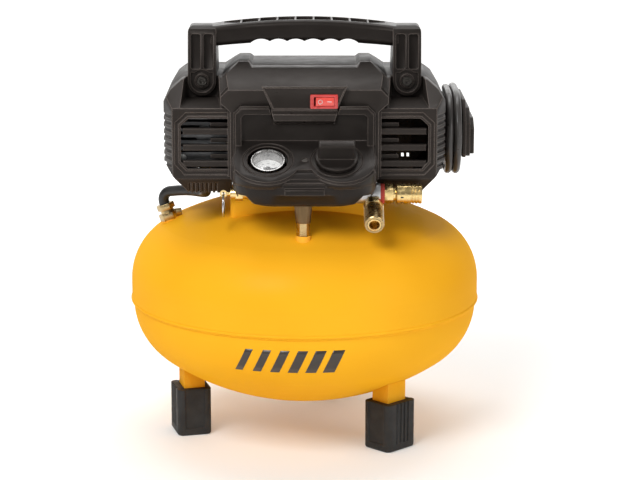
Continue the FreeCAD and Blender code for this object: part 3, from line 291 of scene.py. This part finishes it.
def nurbs(name, points, bevel_radius):
    """A smooth round cord along control points."""
    data = bpy.data.curves.new(name, "CURVE")
    data.dimensions = "3D"
    spline = data.splines.new("NURBS")
    spline.points.add(len(points) - 1)
    for point, place in zip(spline.points, points):
        point.co = (*place, 1)
        point.radius = bevel_radius
    spline.order_u = 3
    spline.use_endpoint_u = True
    data.bevel_depth = 1.0
    data.bevel_resolution = 4
    data.resolution_u = 6
    return data


def power_cord(material):
    """The mains cord: out of its strain relief, round the wrap, and down to the plug."""
    points = LEAD + coil_points() + TAIL
    piece = new_object("power_cord", nurbs("power_cord", points, CORD_D / 2))
    use_material(piece, material)
    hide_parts("cord_lead", "cord_coil")
    plug = rounded("plug_body", material, 0.0012)


# ---- materials -----------------------------------------------------------------------------------
class Nodes:
    """Shorthand for building one node material."""

    def __init__(self, name):
        self.material = bpy.data.materials.new(name)
        self.material.use_nodes = True
        self.tree = self.material.node_tree
        self.shader = self.tree.nodes["Principled BSDF"]
        self.coords = self.add("ShaderNodeTexCoord")

    def add(self, kind, **values):
        node = self.tree.nodes.new(kind)
        for key, value in values.items():
            setattr(node, key, value)
        return node

    def link(self, out, into):
        self.tree.links.new(out, into)

    def noise(self, scale, detail=4.0, roughness=0.55, stretch=None):
        node = self.add("ShaderNodeTexNoise")
        node.inputs["Scale"].default_value = scale
        node.inputs["Detail"].default_value = detail
        node.inputs["Roughness"].default_value = roughness
        source = self.coords.outputs["Object"]
        if stretch:
            mapping = self.add("ShaderNodeMapping")
            mapping.inputs["Scale"].default_value = stretch
            self.link(source, mapping.inputs["Vector"])
            source = mapping.outputs["Vector"]
        self.link(source, node.inputs["Vector"])
        return node.outputs["Fac"]

    def span(self, value, low, high, from_low=0.3, from_high=0.7):
        node = self.add("ShaderNodeMapRange")
        node.inputs["From Min"].default_value = from_low
        node.inputs["From Max"].default_value = from_high
        node.inputs["To Min"].default_value = low
        node.inputs["To Max"].default_value = high
        self.link(value, node.inputs["Value"])
        return node.outputs["Result"]

    def mix(self, factor, first, second):
        node = self.add("ShaderNodeMix", data_type="RGBA")
        self.link(factor, node.inputs["Factor"])
        for socket, value in ((node.inputs[6], first), (node.inputs[7], second)):
            if isinstance(value, bpy.types.NodeSocket):
                self.link(value, socket)
            else:
                socket.default_value = (*value, 1)
        return node.outputs[2]

    def edges(self, radius):
        """A rounded normal near hard edges, and a mask: 0 on flats and in hollows, 1 on an outward edge."""
        rounding = self.add("ShaderNodeBevel", samples=6)
        rounding.inputs["Radius"].default_value = radius
        flat = self.add("ShaderNodeNewGeometry")
        turn = self.add("ShaderNodeVectorMath", operation="DOT_PRODUCT")
        self.link(rounding.outputs["Normal"], turn.inputs[0])
        self.link(flat.outputs["Normal"], turn.inputs[1])
        near = self.span(turn.outputs["Value"], 1, 0, 0.92, 0.995)
        hollow = self.add("ShaderNodeAmbientOcclusion", samples=6, only_local=True)
        hollow.inputs["Distance"].default_value = 4 * radius
        outward = self.span(hollow.outputs["AO"], 0, 1, 0.5, 0.8)
        both = self.add("ShaderNodeMath", operation="MULTIPLY")
        self.link(near, both.inputs[0])
        self.link(outward, both.inputs[1])
        return rounding.outputs["Normal"], both.outputs["Value"]

    def worn_and_highlit_edge_mask(self, low, high):
        """0 on flats, 1 on sharp convex edges."""
        geometry = self.add("ShaderNodeNewGeometry")
        return self.span(geometry.outputs["Pointiness"], 0, 1, low, high)

    def bump(self, height, strength, distance, under=None):
        node = self.add("ShaderNodeBump")
        node.inputs["Strength"].default_value = strength
        node.inputs["Distance"].default_value = distance
        self.link(height, node.inputs["Height"])
        if under is not None:
            self.link(under, node.inputs["Normal"])
        return node.outputs["Normal"]

    def finish(self, color, roughness, normal=None, **sockets):
        for value, name in ((color, "Base Color"), (roughness, "Roughness")):
            if isinstance(value, bpy.types.NodeSocket):
                self.link(value, self.shader.inputs[name])
            elif name == "Base Color":
                self.shader.inputs[name].default_value = (*value, 1)
            else:
                self.shader.inputs[name].default_value = value
        if normal is not None:
            self.link(normal, self.shader.inputs["Normal"])
        for name, value in sockets.items():
            self.shader.inputs[name.replace("_", " ")].default_value = value
        return self.material


def tank_paint():
    """Powder coat: warm yellow, faint orange peel, slight colour drift, a few dull scuffs."""
    n = Nodes("tank_paint")
    drift = n.span(n.noise(6, 2), 0, 1)
    color = n.mix(drift, (0.87, 0.400, 0.014), (0.90, 0.440, 0.018))
    edge = n.worn_and_highlit_edge_mask(0.54, 0.66)
    # Sharp convex edges are a lighter yellow: partly rubbed paint, partly a painted highlight.
    color = n.mix(edge, color, (0.93, 0.46, 0.05))
    scuffs = n.noise(30, 9, 0.75, (1, 1, 6))
    color = n.mix(n.span(scuffs, 0, 0.5, 0.66, 0.74), color, (0.66, 0.30, 0.02))
    rough = n.span(n.noise(14, 3), 0.34, 0.44)
    peel = n.bump(n.noise(420, 2), 0.10, 0.0004)
    return n.finish(color, rough, peel, Specular_IOR_Level=0.0, Coat_Weight=0.09, Coat_Roughness=0.36)


def moulded_plastic(name, dark, light, rough, grain=900, strength=0.22, gloss=0.19):
    """Spark-eroded mould texture, fine scratches, and much lighter outward edges: a painted highlight along
    the rims, partly rubbed wear.
    """
    n = Nodes(name)
    patch = n.span(n.noise(22, 4), 0, 1)
    color = n.mix(patch, dark, light)
    scratches = n.noise(55, 10, 0.8, (1, 7, 2))
    color = n.mix(n.span(scratches, 0, 0.45, 0.64, 0.72), color, tuple(c * 2.6 for c in light))
    rounding, edge = n.edges(0.0018)
    # Painted highlight: outward edges are mixed much lighter, like rims that catch the light; a little of
    # it is rubbed wear.
    color = n.mix(edge, color, tuple(c * 6.5 for c in light))
    roughness = n.span(n.noise(60, 3), rough - 0.05, rough + 0.07)
    grainy = n.bump(n.noise(grain, 2, 0.7), strength, 0.00035, rounding)
    return n.finish(color, roughness, grainy, Specular_IOR_Level=gloss, Specular_Tint=(1.0, 0.90, 0.84, 1))


def rubber(name, color, rough=0.62):
    """Matt rubber, dusty in places."""
    n = Nodes(name)
    dusty = n.span(n.noise(40, 5), 0, 1)
    mixed = n.mix(dusty, color, tuple(c * 1.8 + 0.004 for c in color))
    roughness = n.span(n.noise(90, 3), rough - 0.08, rough + 0.1)
    return n.finish(mixed, roughness, n.bump(n.noise(600, 3), 0.18, 0.0004))


def metal(name, color, rough, brushed=None, tarnish=0.25, relief=0.03):
    """Turned or cast metal with uneven tarnish and fine tool marks."""
    n = Nodes(name)
    stain = n.span(n.noise(70, 6, 0.6), 0, tarnish)
    mixed = n.mix(stain, color, tuple(c * 0.45 for c in color))
    marks = n.noise(150, 3, 0.6, brushed or (1, 1, 1))
    roughness = n.span(marks, rough - 0.06, rough + 0.12)
    return n.finish(mixed, roughness, n.bump(marks, relief, 0.0002), Metallic=1.0)


def gloss_plastic(name, color, rough=0.22):
    """Smooth plastic, ink or film with a thin clear coat."""
    n = Nodes(name)
    shade = n.span(n.noise(50, 3), 0, 1)
    mixed = n.mix(shade, color, tuple(c * 0.85 for c in color))
    roughness = n.span(n.noise(120, 3), rough, rough + 0.1)
    return n.finish(mixed, roughness, n.bump(n.noise(300, 2), 0.05, 0.0002), Coat_Weight=0.3)


def laminations(name):
    """Stacked steel sheets, lines across the shaft."""
    n = Nodes(name)
    lines = n.noise(400, 1, 0.5, (4, 0.05, 0.05))
    color = n.mix(n.span(lines, 0, 1), (0.16, 0.17, 0.19), (0.34, 0.35, 0.37))
    return n.finish(color, 0.42, n.bump(lines, 0.5, 0.0004), Metallic=0.9)


def clear_plastic(name):
    """The gauge's clear lens."""
    n = Nodes(name)
    roughness = n.span(n.noise(30, 3), 0.03, 0.10)
    return n.finish((1, 1, 1), roughness, None, Specular_IOR_Level=0.3, Alpha=0.10)


def paper_face(name):
    """The gauge's printed white card."""
    n = Nodes(name)
    color = n.mix(n.span(n.noise(60, 3), 0, 1), (0.94, 0.94, 0.93), (0.88, 0.88, 0.87))
    return n.finish(color, 0.5, Specular_IOR_Level=0.2)


def make_materials():
    """Every material of the object and the floor, by the name used below."""
    shroud = (0.0160, 0.0130, 0.0113), (0.0230, 0.0190, 0.0168)
    deep = (0.0090, 0.0072, 0.0063), (0.0140, 0.0115, 0.0101)
    return {
        "paint": tank_paint(),
        "shroud": moulded_plastic("shroud_plastic", *shroud, 0.46),
        "console": moulded_plastic("console_plastic", *deep, 0.38),
        "handle": moulded_plastic("handle_plastic", *deep, 0.36),
        "panel": moulded_plastic("panel_plastic", *shroud, 0.30, 1400, 0.08),
        "rubber": rubber("black_rubber", (0.0075, 0.0068, 0.0062)),
        "hose": rubber("hose_rubber", (0.009, 0.008, 0.0075), 0.42),
        "cord": rubber("cord_jacket", (0.030, 0.027, 0.025), 0.34),
        "brass": metal("bright_brass", (0.83, 0.62, 0.28), 0.24),
        "old_brass": metal("dark_brass", (0.56, 0.41, 0.20), 0.26, None, 0.6),
        # Painted shade: the nipple's cone is dark brown-bronze, for brass lying in the shade under the
        # console.
        "nipple": metal("nipple_brass_in_painted_shade", (0.17, 0.11, 0.055), 0.34, None, 0.4),
        "cast": metal("cast_aluminium", (0.66, 0.66, 0.67), 0.44, relief=0.2),
        "steel": metal("plain_steel", (0.56, 0.56, 0.57), 0.26, (1, 1, 12)),
        "zinc": metal("zinc_steel", (0.50, 0.50, 0.49), 0.34),
        "black_steel": metal("black_oxide_steel", (0.06, 0.055, 0.05), 0.32),
        "laminated": laminations("stator_steel"),
        "copper": metal("copper_wire", (0.62, 0.24, 0.10), 0.36, (8, 1, 1)),
        # Painted shade: the pump's castings and motor end bells are dark grey, for the shade inside the
        # shroud behind its windows.
        "cast_in_painted_shade": metal("crank_casting_painted_shade", (0.20, 0.20, 0.205), 0.5, relief=0.2),
        "fan": gloss_plastic("fan_plastic", (0.10, 0.10, 0.095), 0.4),
        "red": gloss_plastic("red_plastic", (0.80, 0.085, 0.065)),
        "red_frame": gloss_plastic("red_bezel", (0.58, 0.045, 0.040), 0.3),
        "seal": rubber("red_seal", (0.32, 0.03, 0.02)),
        "bezel": metal("bezel_metal", (0.42, 0.41, 0.40), 0.24),
        "dial": paper_face("dial_face"),
        "ink": gloss_plastic("black_ink", (0.01, 0.01, 0.01), 0.5),
        "decal": gloss_plastic("black_decal", (0.030, 0.022, 0.016), 0.35),
        "label": gloss_plastic("silver_label", (0.42, 0.42, 0.41), 0.35),
        "white": gloss_plastic("white_marks", (0.80, 0.72, 0.70), 0.45),
        "lens": clear_plastic("clear_lens"),
        "ptfe": gloss_plastic("ptfe_seal", (0.20, 0.15, 0.11), 0.45),
        "floor": floor_material(),
    }


def floor_material():
    """Pale floor that glows, faintly near the object and brighter to white away from it."""
    n = Nodes("studio_floor")
    color = n.mix(n.span(n.noise(2, 2), 0, 1), (0.80, 0.80, 0.795), (0.83, 0.83, 0.825))
    away = n.add("ShaderNodeVectorMath", operation="LENGTH")
    n.link(n.coords.outputs["Object"], away.inputs[0])
    # Painted light: the floor glows, least around the object and more further out.
    n.link(n.span(away.outputs["Value"], 0.16, 0.50, 0.3, 1.3), n.shader.inputs["Emission Strength"])
    return n.finish(color, 0.8, Specular_IOR_Level=0.1, Emission_Color=(1, 1, 0.99, 1))


# ---- which CAD node gets which look --------------------------------------------------------------
# These keep their CAD shape.
DRESSED = {
    "tank_upper_head": "paint", "tank_lower_head": "paint", "tank_bungs": "paint", "isolators": "rubber",
    "pump_base": "zinc", "stator_core": "laminated", "stator_windings": "copper",
    # The pump's castings and the motor's end bells are darkened here: painted shade inside the shroud.
    "motor_end_bells": "cast_in_painted_shade", "shaft_bearings": "steel", "motor_shaft": "steel",
    "rotor_core": "laminated", "cooling_fan": "fan", "crank_eccentric": "steel", "crankcase": "cast_in_painted_shade",
    "crankcase_cover": "cast_in_painted_shade", "cylinder_sleeve": "cast_in_painted_shade", "valve_plate": "cast_in_painted_shade",
    "cylinder_head": "cast_in_painted_shade", "head_bolts": "zinc", "intake_filter": "console",
    # The shroud screws are black steel, partly painted shade for their dark, recessed screw holes.
    "piston_rod": "cast", "piston_seal": "ptfe", "discharge_hose": "hose", "shroud_screws": "black_steel",
    "gauge_dial": "dial", "gauge_needle": "ink", "gauge_lens": "lens", "pressure_switch": "console",
    "relief_ring": "steel", "relief_stem": "brass", "plug_blades": "brass", "strain_relief": "cord",
}

# These have their edges rounded: the look, the width of the rounding and the body.
ROUNDED = {
    "leg_brackets": ("paint", 0.0006, "root"), "rubber_feet": ("rubber", 0.0010, "root"),
    "pump_saddle": ("paint", 0.0012, "root"), "front_shroud": ("shroud", 0.0011, "root"),
    "rear_shroud": ("shroud", 0.0009, "root"), "handle": ("handle", 0.0009, "root"),
    "handle_bolts": ("black_steel", 0.0004, "root"), "console": ("console", 0.0010, "root"),
    "switch_panel": ("panel", 0.0007, "root"), "switch_housing": ("red_frame", 0.0005, "root"),
    "power_rocker": ("red", 0.0005, "rocker"), "gauge_case": ("bezel", 0.0004, "root"),
    "manifold": ("cast", 0.0005, "root"), "tank_nipple": ("nipple", 0.0005, "root"),
    "regulator_knob": ("console", 0.0007, "knob"), "outlet_washer": ("seal", 0.0004, "root"),
    "coupler_bodies": ("brass", 0.0004, "root"), "hose_end_nuts": ("old_brass", 0.0004, "root"),
    "check_valve_body": ("old_brass", 0.0004, "root"), "relief_valve_body": ("brass", 0.0003, "root"),
    "drain_valve_body": ("brass", 0.0003, "root"), "drain_knob": ("brass", 0.0004, "drain_knob"),
    "cord_wrap": ("shroud", 0.0009, "root"),
}

# Where a flat wall is full of vents, it is split at the middle of each column of them.
SPLITS = {"rear_shroud": [-0.0565 + 0.012 * k for k in range(11)]
          + [side * (0.0902 + 0.0068 * k) for side in (-1, 1) for k in range(8)]}


# ---- details that the CAD bodies leave plain -----------------------------------------------------
def coupler_sleeve(node, axis_turn, material, body, grooves, depth):
    """The sliding collar of a quick coupler: turned grooves near its mouth and a rolled lip."""
    outer, bore, half = 0.0113, 0.00832, 0.0145
    rings = [(bore, -half), (outer - 0.0010, -half), (outer, -half + 0.0010)]
    for groove in grooves:
        rings += [(outer, groove), (outer - depth, groove + 0.0003), (outer - depth, groove + 0.0013),
                  (outer, groove + 0.0016)]
    rings += [(outer, half - 0.0008), (outer - 0.0007, half), (bore, half)]
    place = placed(middle(node), axis_turn)
    piece = spun(node + "_turned", plain(rings), place, material, body, segments=144)
    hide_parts(node)


def coupler_slots(material):
    """Black patches round the right coupler's collar: painted shade where its ball slots open."""
    radius, half_long, half_wide, thick = 0.01112, 0.0016, 0.0008, 0.0003
    centre = middle("right_coupler_sleeve") - Vector((0.0080, 0, 0))
    slots, first = 8, 0.2
    quads = []
    for k in range(slots):
        a = TURN * k / slots + first
        at = centre + Vector((0, math.cos(a), math.sin(a))) * radius
        side = Vector((0, -math.sin(a), math.cos(a))) * half_wide
        along = Vector((half_long, 0, 0))
        quads.append([at - along - side, at + along - side, at + along + side, at - along + side])
    bm = bmesh.new()
    for corners in quads:
        bm.faces.new([bm.verts.new(corner) for corner in corners])
    piece = mesh_piece("coupler_ball_slots", bm, "right_sleeve")
    solid = piece.modifiers.new("thickness", "SOLIDIFY")
    solid.thickness = thick
    apply_modifiers(piece)
    use_material(piece, material)


def tank_weld(material):
    """The weld bead under the lap of the two heads."""
    place = Matrix.Translation((0, 0, SEAM_Z))
    middle_r, middle_z = TANK_R - 0.0036, -0.0006
    wide, high, steps = 0.0018, 0.0014, 8
    ripple, ripples = 0.00018, 210
    rings = []
    for k in range(steps + 1):
        a = math.pi * (0.5 - k / steps)
        rings.append((middle_r + wide * math.cos(a), middle_z + high * math.sin(a), ripple, ripples))
    spun("tank_weld", rings, place, material, segments=4 * ripples, closed=False, angle=60)


def tank_decal(material):
    """A row of plain slanted bars, low on the tank's front."""
    left, right, low, high = -0.078, 0.052, 0.1155, 0.1435
    bars, lean = 6, 0.012
    pitch = (right - left - lean) / bars
    quads = []
    for k in range(bars):
        x, wide = left + pitch * k, pitch * (0.42 + 0.05 * k)
        quads.append([(x, -0.3, low), (x + wide, -0.3, low),
                      (x + wide + lean, -0.3, high), (x + lean, -0.3, high)])
    sticker("tank_decal", quads, "tank_lower_head", (0, 1, 0), material)


def rear_label(looks):
    """A blank rating plate with ruled lines on the rear shell."""
    y = 0.3
    x0, x1, z0, z1 = -0.045, 0.045, 0.312, 0.328
    plate = [[(x1, y, z0), (x0, y, z0), (x0, y, z1), (x1, y, z1)]]
    sticker("rating_plate", plate, "rear_shroud", (0, -1, 0), looks["label"], lift=0.0003, thick=0.0004)
    rules = []
    for k in range(4):
        z = z0 + 0.0028 + 0.0034 * k
        start, end = x1 - 0.004, x0 + 0.006 + 0.008 * (k % 2)
        rules.append([(start, y, z), (end, y, z), (end, y, z + 0.0009), (start, y, z + 0.0009)])
    sticker("rating_plate_rules", rules, "rear_shroud", (0, -1, 0), looks["ink"], lift=0.0006)


def rocker_marks(material):
    """On and off marks on the rocker: a ring and a dash."""
    centre = middle("power_rocker")
    ring_x, dash_x, z, y = centre.x - 0.0052, centre.x + 0.0052, centre.z, centre.y - 0.05
    quads = []
    steps = 14
    for k in range(steps):
        a0, a1 = TURN * k / steps, TURN * (k + 1) / steps
        corners = [(0.0020, a0), (0.0020, a1), (0.0027, a1), (0.0027, a0)]
        quads.append([(ring_x + r * math.cos(a), y, z + r * math.sin(a)) for r, a in corners])
    quads.append([(dash_x - 0.0026, y, z - 0.0004), (dash_x + 0.0026, y, z - 0.0004),
                  (dash_x + 0.0026, y, z + 0.0004), (dash_x - 0.0026, y, z + 0.0004)])
    sticker("rocker_marks", quads, "power_rocker", (0, 1, 0), material, "rocker", 0.0001, 0.0001, (3, 1))


def dial_marks(material):
    """Ticks and generic numbers on the gauge's dial."""
    place = placed(middle("gauge_dial"), Matrix.Rotation(SHELF_TILT, 3, "X"))
    face = 0.0005
    bm = bmesh.new()
    ticks, outer = 32, 0.0150
    for k in range(ticks + 1):
        a = DIAL_ZERO - DIAL_SWEEP * k / ticks
        long = k % 4 == 0
        inner, half = (0.0128, 0.00016) if long else (0.0138, 0.00008)
        out = Vector((math.cos(a), math.sin(a), 0))
        side = Vector((-math.sin(a), math.cos(a), 0)) * half
        up = Vector((0, 0, face))
        corners = [out * inner - side, out * outer - side, out * outer + side, out * inner + side]
        bm.faces.new([bm.verts.new(place @ (corner + up)) for corner in corners])
    numbers, numbers_r = 8, 0.0103
    for k in range(numbers + 1):
        a = DIAL_ZERO - DIAL_SWEEP * k / numbers
        at = (numbers_r * math.cos(a), numbers_r * math.sin(a), face)
        add_number(bm, place, str(25 * k), at, 0.0026)
    piece = mesh_piece("dial_marks", bm)
    use_material(piece, material)


def add_number(bm, place, text, at, size):
    """Add a flat number to the bmesh."""
    data = bpy.data.curves.new("number", "FONT")
    data.body = text
    data.size = size
    data.align_x = "CENTER"
    data.align_y = "CENTER"
    holder = bpy.data.objects.new("number", data)
    mesh = bpy.data.meshes.new_from_object(holder)
    mesh.transform(place @ Matrix.Translation(at))
    bm.from_mesh(mesh)
    bpy.data.objects.remove(holder)
    bpy.data.curves.remove(data)
    bpy.data.meshes.remove(mesh)


def gauge_rim(material):
    """A rolled rim round the gauge's lens."""
    place = placed(middle("gauge_lens"), Matrix.Rotation(SHELF_TILT, 3, "X"))
    rings = [(0.0170, 0.0008), (0.0172, 0.0030), (0.0178, 0.0037), (0.0186, 0.0037), (0.0189, 0.0030),
             (0.0189, 0.0010)]
    spun("gauge_rim", plain(rings), place, material, segments=96)


def brass_nut_of_nipple(looks):
    """The nipple's hexagon gets lighter brass; its cone keeps a dark colour that paints the shade under the
    console.
    """
    piece = bpy.data.objects["tank_nipple_rounded"]
    piece.data.materials.append(looks["old_brass"])
    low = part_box("tank_nipple")[0][2]
    for face in piece.data.polygons:
        if face.center.z < low + NIPPLE_NUT:
            face.material_index = 1


def add_details(looks):
    """Every detail piece, and the nipple's second colour."""
    brass_nut_of_nipple(looks)
    right_turn = Matrix.Rotation(math.pi / 2, 3, "Y")
    coupler_sleeve("right_coupler_sleeve", right_turn, looks["brass"], "right_sleeve",
                   (0.0022, 0.0058, 0.0094), 0.0009)
    front_turn = Matrix.Rotation(math.pi / 2 + COUPLER_DIP, 3, "X")
    coupler_sleeve("front_coupler_sleeve", front_turn, looks["old_brass"], "front_sleeve",
                   [-0.0125 + 0.0032 * k for k in range(8)], 0.0015)
    coupler_slots(looks["ink"])
    tank_weld(looks["paint"])
    tank_decal(looks["decal"])
    rear_label(looks)
    rocker_marks(looks["white"])
    dial_marks(looks["ink"])
    gauge_rim(looks["bezel"])


# ---- stage ---------------------------------------------------------------------------------------
def make_stage(material):
    """A floor that curves up into a wall behind the object."""
    bm = bmesh.new()
    size, back, bend, top, steps = 6.0, 2.6, 0.9, 5.0, 10
    profile = [(-size, 0.0), (back, 0.0)]
    for k in range(1, steps + 1):
        a = math.pi / 2 * k / steps
        profile.append((back + bend * math.sin(a), bend - bend * math.cos(a)))
    profile.append((back + bend, top))
    rows = [[bm.verts.new((x, y, z)) for x in (-size, size)] for y, z in profile]
    for low, high in zip(rows, rows[1:]):
        bm.faces.new((low[0], low[1], high[1], high[0]))
    mesh = bpy.data.meshes.new("studio_floor")
    bm.to_mesh(mesh)
    bm.free()
    mesh.shade_smooth()
    floor = bpy.data.objects.new("studio_floor", mesh)
    floor.data.materials.append(material)
    bpy.context.collection.objects.link(floor)


def area_light(name, place, target, size, power):
    """A rectangular light of (width, height) that looks at the target."""
    data = bpy.data.lights.new(name, "AREA")
    data.shape = "RECTANGLE"
    data.size, data.size_y = size
    data.energy = power
    lamp = bpy.data.objects.new(name, data)
    lamp.location = place
    lamp.rotation_euler = (Vector(target) - Vector(place)).to_track_quat("-Z", "Y").to_euler()
    bpy.context.collection.objects.link(lamp)


def make_lights():
    """A soft key from the front left, a weak fill on the right, and broad lights above and behind."""
    aim = (0, 0, 0.28)
    area_light("key", (-1.0, -1.9, 2.1), aim, (1.2, 1.2), 55)
    area_light("fill", (1.9, -1.6, 0.9), aim, (1.2, 1.4), 12)
    area_light("top", (0, 0.6, 2.3), aim, (1.8, 1.0), 26)
    area_light("back", (0.2, 2.2, 1.2), aim, (2.4, 1.2), 9)
    world = bpy.data.worlds.new("studio")
    world.use_nodes = True
    world.node_tree.nodes["Background"].inputs["Color"].default_value = (1, 0.99, 0.97, 1)
    world.node_tree.nodes["Background"].inputs["Strength"].default_value = 0.24
    bpy.context.scene.world = world
    bpy.context.scene.view_settings.view_transform = "Standard"


# ---- main ----------------------------------------------------------------------------------------
def main():
    make_camera()
    looks = make_materials()
    power_cord(looks["cord"])
    for node, look in DRESSED.items():
        dress(node, looks[look])
    for node, (look, width, body) in ROUNDED.items():
        rounded(node, looks[look], width, body=body, splits=SPLITS.get(node, ()))
    add_details(looks)
    make_stage(looks["floor"])
    make_lights()


main()
